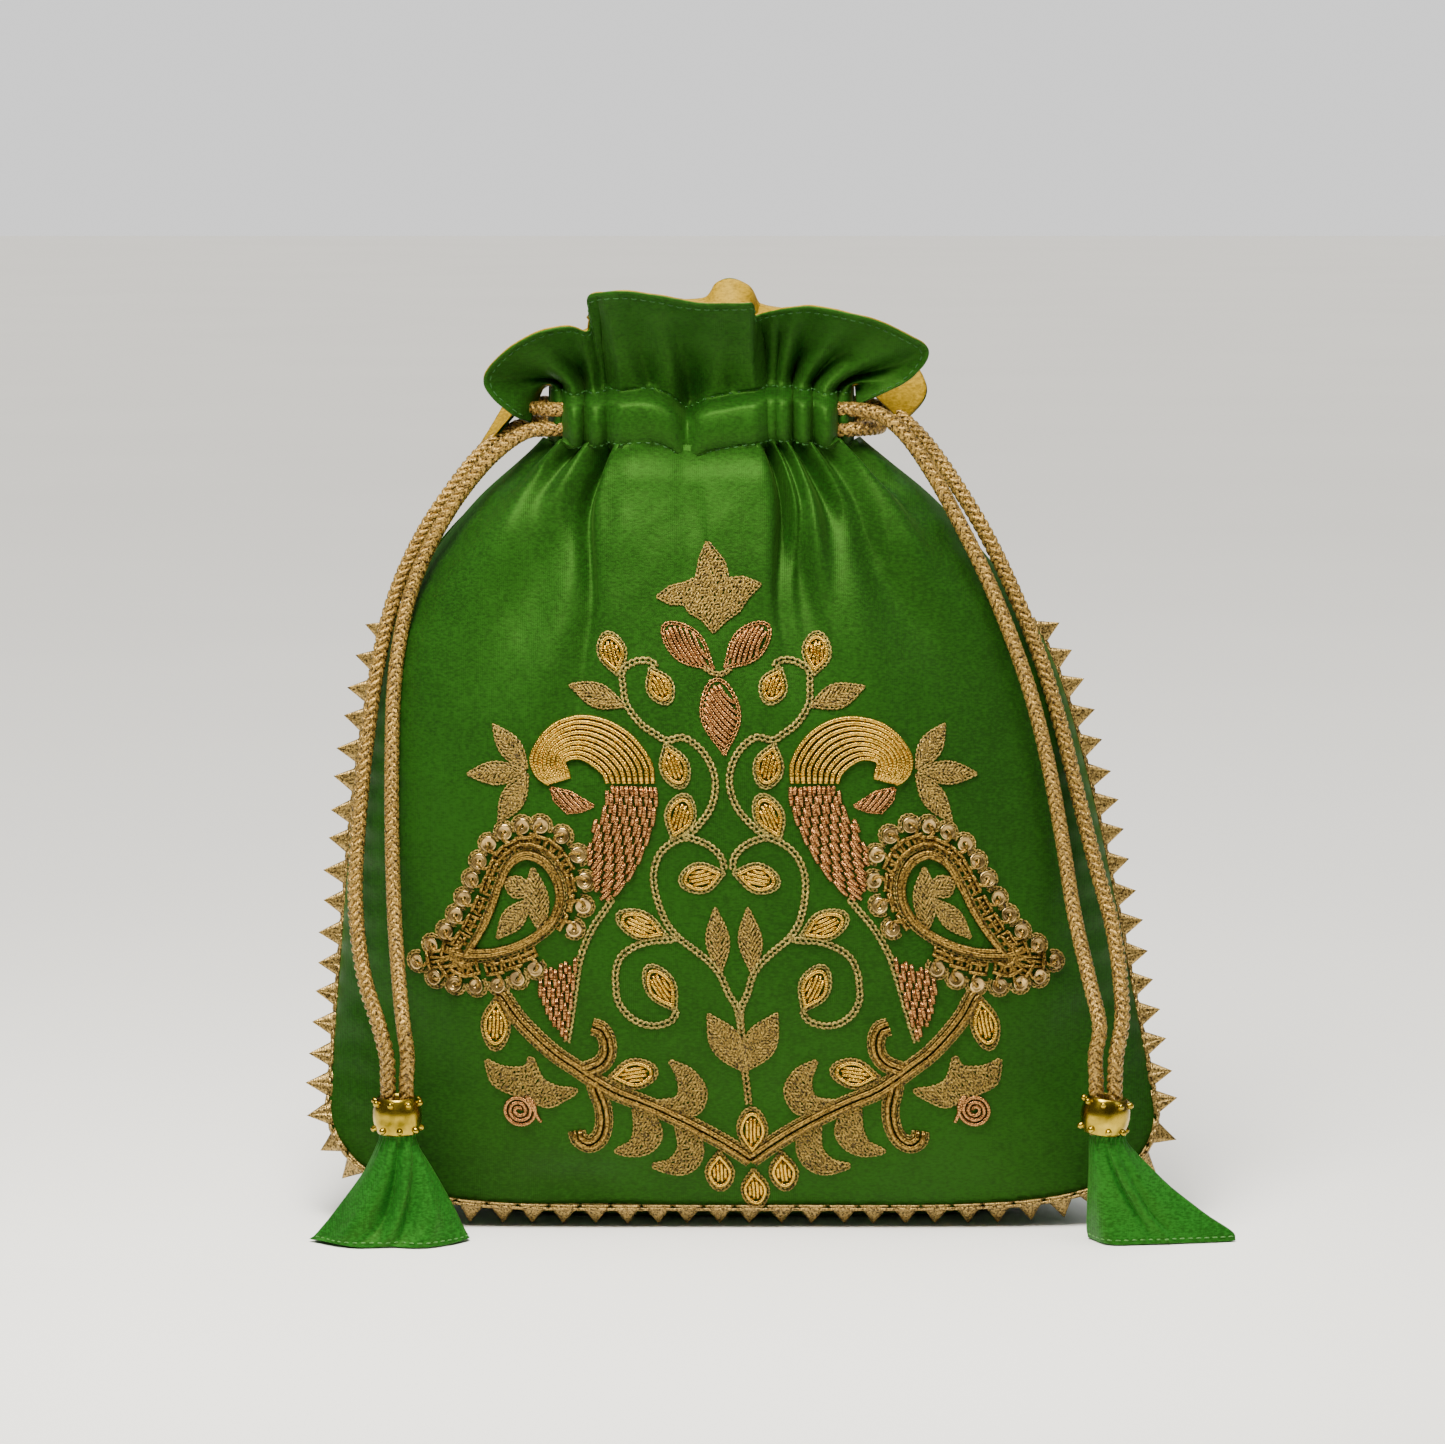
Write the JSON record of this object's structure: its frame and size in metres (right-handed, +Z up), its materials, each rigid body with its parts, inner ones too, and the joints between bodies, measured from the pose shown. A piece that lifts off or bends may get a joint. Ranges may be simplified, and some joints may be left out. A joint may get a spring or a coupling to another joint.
{
  "type": "fabric gift sack",
  "caption": "Gathered satin drawstring pouch with contrasting lining, frilled mouth, braided drawcords with beads and cloth tassels, picot edging and raised bird-and-vine embroidery.",
  "frame": {"origin": "middle of the base's outline on the surface it stands on", "axes": "+Z up through the mouth, +Y from the embroidered front towards the back, +X to the right seen from the front"},
  "size_m": [0.2452, 0.0996, 0.2445],
  "materials": {
    "satin_green": "satin",
    "lining_gold": "satin",
    "edging_gold": "satin",
    "cord_gold": "satin",
    "bead_brass": "polished",
    "zari_thread": "satin",
    "coil_gold": "polished",
    "coil_copper": "polished",
    "sequin": "gloss"
  },
  "bodies": {
    "sack": {"front_panel": "satin_green", "back_panel": "satin_green", "front_lining": "lining_gold", "back_lining": "lining_gold", "front_channel": "satin_green", "back_channel": "satin_green", "front_channel_lining": "lining_gold", "back_channel_lining": "lining_gold", "ribbon_edging": "edging_gold", "left_cord_run": "cord_gold", "right_cord_run": "cord_gold", "finial": "zari_thread", "copper_petal_left": "coil_copper", "copper_petal_right": "coil_copper", "copper_petal_lower": "coil_copper", "sprig": "zari_thread", "branch": "coil_gold", "vine_left": "zari_thread", "bird_head_left": "coil_gold", "bird_neck_left": "coil_copper", "bird_tail_left": "coil_copper", "beak_left": "coil_copper", "crest_left": "zari_thread", "wing_cord_left": "coil_gold", "wing_leaf_left": "zari_thread", "sequin_border_left": "sequin", "blossom_left": "zari_thread", "rose_left": "coil_copper", "vine_right": "zari_thread", "bird_head_right": "coil_gold", "bird_neck_right": "coil_copper", "bird_tail_right": "coil_copper", "beak_right": "coil_copper", "crest_right": "zari_thread", "wing_cord_right": "coil_gold", "wing_leaf_right": "zari_thread", "sequin_border_right": "sequin", "blossom_right": "zari_thread", "rose_right": "coil_copper"},
    "front_frill": {"front_frill": "satin_green", "front_frill_lining": "lining_gold"},
    "back_frill": {"back_frill": "satin_green", "back_frill_lining": "lining_gold"},
    "left_cord_slider": {"left_cord_front_stub": "cord_gold", "left_cord_back_stub": "cord_gold"},
    "left_cord_free": {"left_cord_front_strand": "cord_gold", "left_cord_back_strand": "cord_gold", "left_cord_knot": "cord_gold"},
    "left_bead": {"left_bead": "bead_brass"},
    "left_tassel": {"left_tassel": "satin_green"},
    "right_cord_slider": {"right_cord_front_stub": "cord_gold", "right_cord_back_stub": "cord_gold"},
    "right_cord_free": {"right_cord_front_strand": "cord_gold", "right_cord_back_strand": "cord_gold", "right_cord_knot": "cord_gold"},
    "right_bead": {"right_bead": "bead_brass"},
    "right_tassel": {"right_tassel": "satin_green"}
  },
  "joints": [
    {"name": "front_frill_open", "type": "hinge", "parent": "sack", "child": "front_frill", "pos_m": [-0.0106, -0.0178, 0.2192], "axis": [1, 0, 0], "range_deg": [0, 30]},
    {"name": "back_frill_open", "type": "hinge", "parent": "sack", "child": "back_frill", "pos_m": [-0.0106, 0.0178, 0.2192], "axis": [-1, 0, 0], "range_deg": [0, 30]},
    {"name": "left_cord_pull", "type": "slide", "parent": "sack", "child": "left_cord_slider", "axis": [-1, 0, 0], "range_m": [0, 0.02]},
    {"name": "left_cord_swing", "type": "hinge", "parent": "left_cord_slider", "child": "left_cord_free", "pos_m": [-0.064, 0, 0.2052], "axis": [0, 1, 0], "range_deg": [0, 50]},
    {"name": "left_bead_slide", "type": "slide", "parent": "left_cord_free", "child": "left_bead", "axis": [0, 0, 1], "range_m": [0, 0.008]},
    {"name": "left_tassel_swing", "type": "hinge", "parent": "left_cord_free", "child": "left_tassel", "pos_m": [-0.0897, -0.049, 0.0262], "axis": [-1, 0, 0], "range_deg": [0, 35]},
    {"name": "right_cord_pull", "type": "slide", "parent": "sack", "child": "right_cord_slider", "axis": [1, 0, 0], "range_m": [0, 0.02]},
    {"name": "right_cord_swing", "type": "hinge", "parent": "right_cord_slider", "child": "right_cord_free", "pos_m": [0.044, 0, 0.2085], "axis": [0, -1, 0], "range_deg": [0, 50]},
    {"name": "right_bead_slide", "type": "slide", "parent": "right_cord_free", "child": "right_bead", "axis": [0, 0, 1], "range_m": [0, 0.008]},
    {"name": "right_tassel_swing", "type": "hinge", "parent": "right_cord_free", "child": "right_tassel", "pos_m": [0.0955, -0.049, 0.0262], "axis": [-1, 0, 0], "range_deg": [0, 35]}
  ]
}
